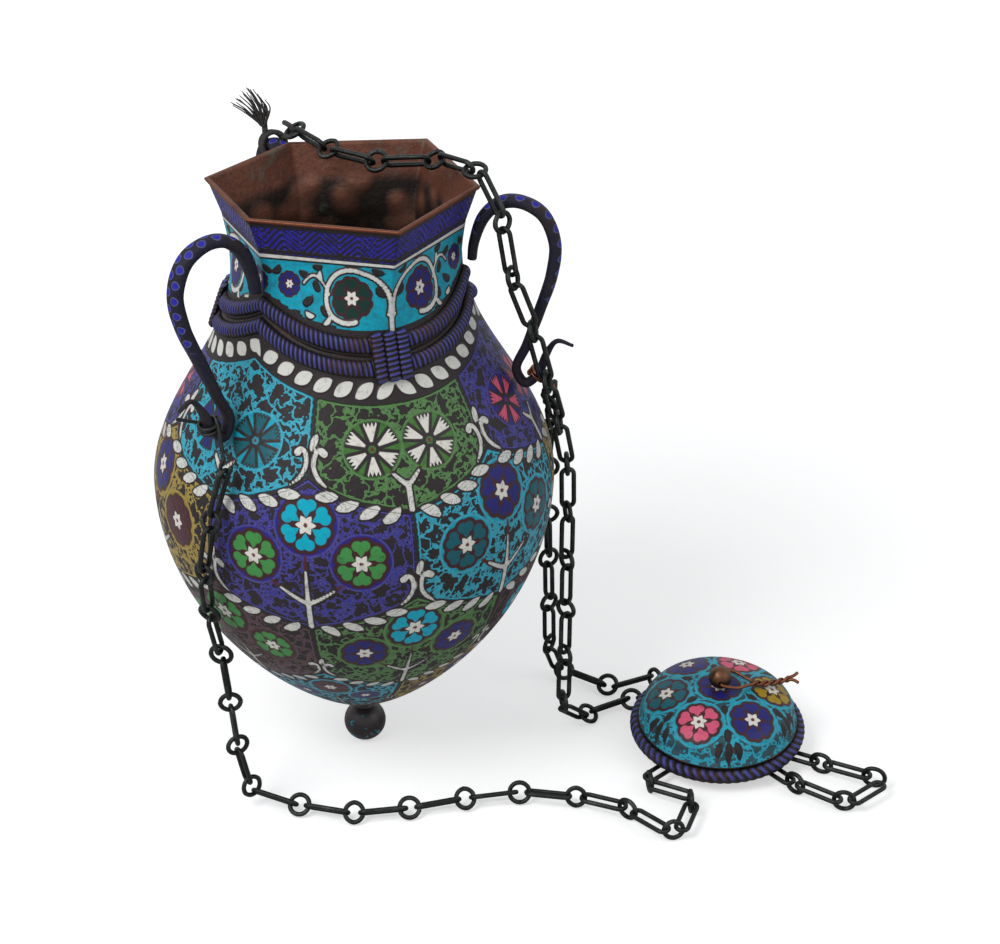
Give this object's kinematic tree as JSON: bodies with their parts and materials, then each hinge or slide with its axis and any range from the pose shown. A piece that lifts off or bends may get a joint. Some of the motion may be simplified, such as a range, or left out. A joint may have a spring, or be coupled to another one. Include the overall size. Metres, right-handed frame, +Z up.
{
  "type": "pendant lamp",
  "caption": "Round-bellied hanging lamp with a six-sided rim, scroll handles, a ball finial, link chains and a small domed ceiling cap with a wire loop.",
  "frame": {"origin": "foot of the ball finial, where it meets the floor, on the vessel's axis", "axes": "+Z up along the vessel's axis, -Y to the viewer of the picture, +X to the ceiling cap that lies beside the vessel"},
  "size_m": [0.3653, 0.1957, 0.3235],
  "materials": {
    "bowl_enamel": "glossy enamel over copper",
    "neck_enamel": "glossy enamel over copper",
    "rope_moulding": "dark metal with enamel strokes",
    "finial_enamel": "dark enamel with flecks",
    "washer_copper": "bare copper",
    "handle_enamel": "dark metal with enamel dots",
    "cap_enamel": "glossy enamel over copper",
    "chain_iron": "dark, with slight patina",
    "bead_bronze": "brown, polished by handling",
    "loop_wire": "brown copper wire",
    "tie_cord": "dark fibre cord"
  },
  "bodies": {
    "lamp": {"bowl": "bowl_enamel", "neck": "neck_enamel", "rope_upper": "rope_moulding", "rope_lower": "rope_moulding", "knot_right": "rope_moulding", "knot_back": "rope_moulding", "knot_front": "rope_moulding", "ball_finial": "finial_enamel", "finial_washer": "washer_copper", "handle_right": "handle_enamel", "handle_back": "handle_enamel", "handle_left": "handle_enamel", "cap_dome": "cap_enamel", "cap_rope_edge": "rope_moulding", "knob_bead": "bead_bronze", "cap_eye_left": "chain_iron", "cap_eye_right": "chain_iron", "cap_eye_back": "chain_iron", "chain_left_1": "chain_iron", "chain_left_2": "chain_iron", "chain_left_3": "chain_iron", "chain_left_4": "chain_iron", "chain_left_5": "chain_iron", "chain_left_6": "chain_iron", "chain_left_7": "chain_iron", "chain_left_8": "chain_iron", "chain_left_9": "chain_iron", "chain_right_1": "chain_iron", "chain_right_2": "chain_iron", "chain_right_3": "chain_iron", "chain_right_4": "chain_iron", "chain_right_5": "chain_iron", "chain_right_6": "chain_iron", "chain_back_4": "chain_iron", "chain_back_5": "chain_iron", "chain_back_6": "chain_iron", "chain_back_7": "chain_iron", "chain_back_8": "chain_iron", "chain_back_9": "chain_iron", "chain_back_10": "chain_iron", "chain_back_11": "chain_iron", "chain_back_12": "chain_iron", "chain_back_13": "chain_iron", "chain_back_14": "chain_iron", "chain_back_15": "chain_iron", "tail_link_1": "chain_iron", "tie_right": "loop_wire", "tie_back": "tie_cord", "tie_left": "chain_iron"},
    "wire_loop": {"hang_loop": "loop_wire"},
    "near_ring": {"tail_link_2": "chain_iron"},
    "near_link": {"tail_link_3": "chain_iron"},
    "near_end_ring": {"tail_link_4": "chain_iron"},
    "far_ring": {"chain_back_3": "chain_iron"},
    "far_link": {"chain_back_2": "chain_iron"},
    "far_end_links": {"chain_back_1": "chain_iron"}
  },
  "joints": [
    {"name": "wire_loop_swing", "type": "hinge", "parent": "lamp", "child": "wire_loop", "pos_m": [0.1847, -0.01161, 0.04382], "axis": [0, -0.9969, -0.0785], "range_deg": [0, 180]},
    {"name": "near_ring_turn", "type": "hinge", "parent": "lamp", "child": "near_ring", "pos_m": [0.2328, -0.0334, 0.0062], "axis": [0, 0, 1], "range_deg": [0, 18]},
    {"name": "near_link_turn", "type": "hinge", "parent": "near_ring", "child": "near_link", "pos_m": [0.2393, -0.0373, 0.0069], "axis": [0, 0, 1], "range_deg": [0, 18]},
    {"name": "near_end_turn", "type": "hinge", "parent": "near_link", "child": "near_end_ring", "pos_m": [0.2578, -0.0464, 0.0067], "axis": [0, 0, 1], "range_deg": [0, 18]},
    {"name": "far_ring_turn", "type": "hinge", "parent": "lamp", "child": "far_ring", "pos_m": [0.2183, -0.0493, 0.0055], "axis": [0, 0, 1], "range_deg": [-18, 0]},
    {"name": "far_link_turn", "type": "hinge", "parent": "far_ring", "child": "far_link", "pos_m": [0.223, -0.0549, 0.0072], "axis": [0, 0, 1], "range_deg": [-18, 0]},
    {"name": "far_end_turn", "type": "hinge", "parent": "far_link", "child": "far_end_links", "pos_m": [0.2401, -0.0665, 0.0065], "axis": [0, 0, 1], "range_deg": [-18, 0]}
  ]
}
